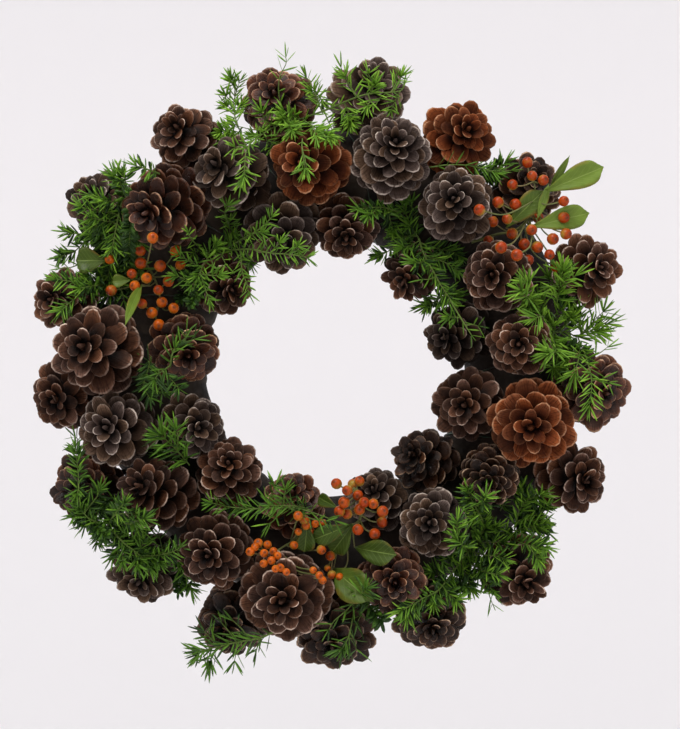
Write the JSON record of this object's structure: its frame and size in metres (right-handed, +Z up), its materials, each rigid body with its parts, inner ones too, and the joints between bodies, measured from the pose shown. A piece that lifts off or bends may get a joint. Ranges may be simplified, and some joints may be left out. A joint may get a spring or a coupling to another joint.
{
  "type": "pinecone wreath",
  "caption": "Round wreath of open pine cones wired in three rows on a half-round ring, with sprigs of fern greenery and orange berries, and a wire loop to hang it by.",
  "frame": {"origin": "the point inside the hanging loop that bears on a nail, over the middle of the wreath's top", "axes": "+Z up, the decorated front faces -Y, the flat back faces +Y, +X is to the right seen from the front"},
  "size_m": [0.4021, 0.1046, 0.4098],
  "materials": {
    "tape_brown": "matte floral tape",
    "wire": "dull galvanised wire",
    "cone_brown": "dry woody scales with paler rims",
    "cone_dark": "dark woody scales, slightly glossy",
    "cone_grey": "weathered grey woody scales",
    "cone_red": "red-brown glossy woody scales",
    "cone_orange": "orange-brown matte woody scales",
    "fern_green": "fresh needle-like leaves, satin",
    "leaf_green": "oval leaves, semi-gloss",
    "berry_orange": "smooth berries with dark calyx ends",
    "twig_green": "thin green-brown twigs and stalks"
  },
  "bodies": {
    "root": {"base_ring": "tape_brown", "hanging_loop": "wire", "cone_01": "cone_grey", "cone_02": "cone_grey", "cone_03": "cone_brown", "cone_04": "cone_brown", "cone_05": "cone_orange", "cone_06": "cone_dark", "cone_07": "cone_grey", "cone_08": "cone_red", "cone_09": "cone_brown", "cone_10": "cone_brown", "cone_11": "cone_brown", "cone_12": "cone_grey", "cone_13": "cone_brown", "cone_14": "cone_red", "cone_15": "cone_grey", "cone_16": "cone_orange", "cone_17": "cone_brown", "cone_18": "cone_brown", "cone_19": "cone_grey", "cone_20": "cone_brown", "cone_21": "cone_dark", "cone_22": "cone_grey", "cone_23": "cone_red", "cone_24": "cone_brown", "cone_25": "cone_grey", "cone_26": "cone_red", "cone_27": "cone_brown", "cone_28": "cone_grey", "cone_29": "cone_grey", "cone_30": "cone_orange", "cone_31": "cone_dark", "cone_32": "cone_brown", "cone_33": "cone_red", "cone_34": "cone_brown", "cone_35": "cone_brown", "cone_36": "cone_dark", "cone_37": "cone_dark", "cone_38": "cone_dark", "cone_39": "cone_grey", "cone_40": "cone_red", "cone_41": "cone_brown", "cone_42": "cone_brown", "cone_43": "cone_grey", "cone_44": "cone_brown", "cone_45": "cone_red", "green_top": "fern_green", "green_upper_right": "fern_green", "green_right": "fern_green", "green_lower_right": "fern_green", "green_bottom": "fern_green", "green_lower_left": "fern_green", "green_inner_bottom": "fern_green", "green_left": "fern_green", "green_upper_left": "fern_green", "green_inner_top": "fern_green", "berries_left": "berry_orange", "berries_right": "berry_orange", "berries_bottom": "berry_orange"}
  },
  "joints": []
}
